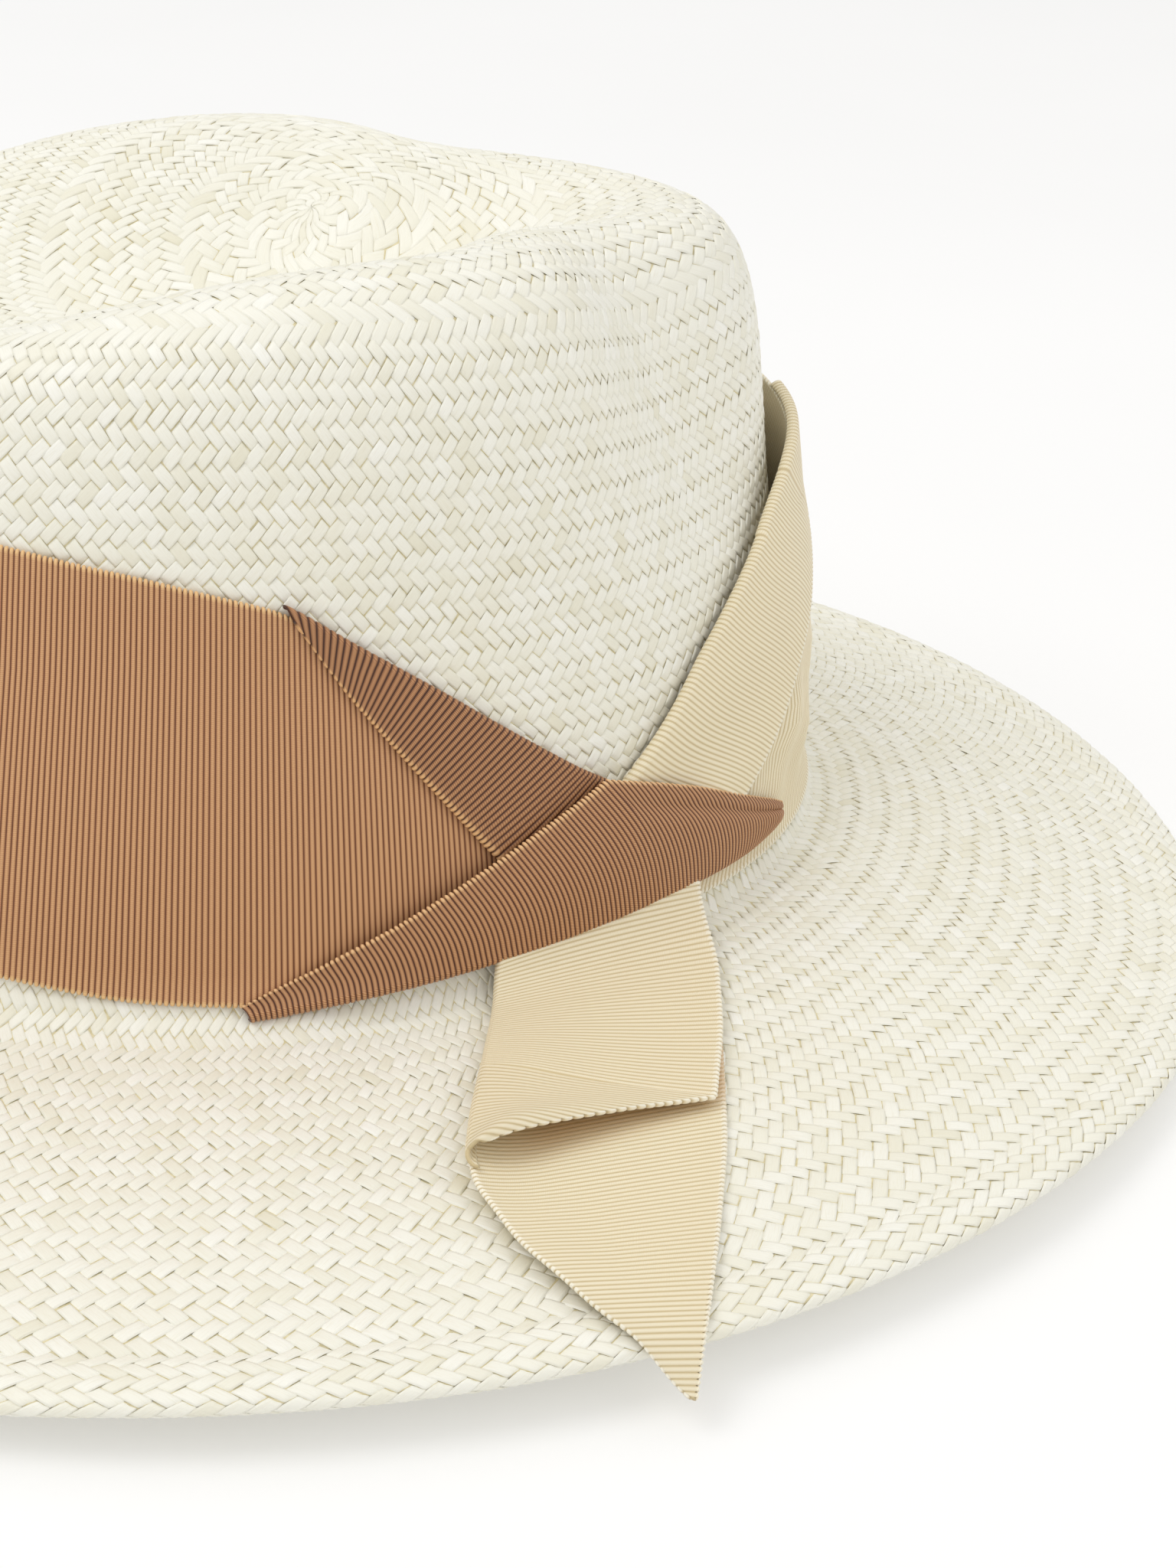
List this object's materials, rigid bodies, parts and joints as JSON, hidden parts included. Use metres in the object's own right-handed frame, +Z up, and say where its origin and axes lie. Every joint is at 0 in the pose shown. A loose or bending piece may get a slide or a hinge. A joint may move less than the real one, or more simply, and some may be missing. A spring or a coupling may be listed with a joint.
{
  "type": "panama hat",
  "caption": "Woven straw hat with a creased, pinched crown, a wide turned-edge brim and two folded grosgrain ribbons whose free tail lies on the brim.",
  "frame": {"origin": "centre of the whole hat's box, on the surface that the brim rests on", "axes": "+X towards the hat's front, +Z up, the ribbon knot on the -Y side"},
  "size_m": [0.353, 0.341, 0.1246],
  "materials": {
    "straw": "fine woven bleached straw, soft sheen",
    "straw_hem": "turned and wrapped straw edge",
    "tan_ribbon": "ribbed grosgrain",
    "cream_ribbon": "ribbed grosgrain",
    "sweatband": "smooth, matt",
    "thread": "twisted thread",
    "tab": "plain woven, blank"
  },
  "bodies": {
    "hat": {"straw_crown": "straw", "straw_brim": "straw", "brim_hem": "straw_hem", "tan_band": "tan_ribbon", "tan_upper_fold": "tan_ribbon", "tan_crossing": "tan_ribbon", "cream_band": "cream_ribbon", "cream_upper_fold": "cream_ribbon", "sweatband": "sweatband", "sweatband_thread": "thread", "sweatband_bow": "tan_ribbon", "size_tab": "tab", "band_join_thread_front": "thread", "band_join_thread_back": "thread", "ribbon_tack_1": "thread", "ribbon_tack_2": "thread", "ribbon_tack_3": "thread", "ribbon_tack_4": "thread", "ribbon_tack_5": "thread", "ribbon_tack_6": "thread", "ribbon_tack_7": "thread", "ribbon_tack_8": "thread"},
    "tail": {"cream_tail": "cream_ribbon", "cream_tail_fold": "cream_ribbon"}
  },
  "joints": [
    {"name": "tail_lift", "type": "hinge", "parent": "hat", "child": "tail", "pos_m": [0.03125, -0.0841, 0.0172], "axis": [-0.9721, -0.2347, 0], "range_deg": [0, 75]}
  ]
}
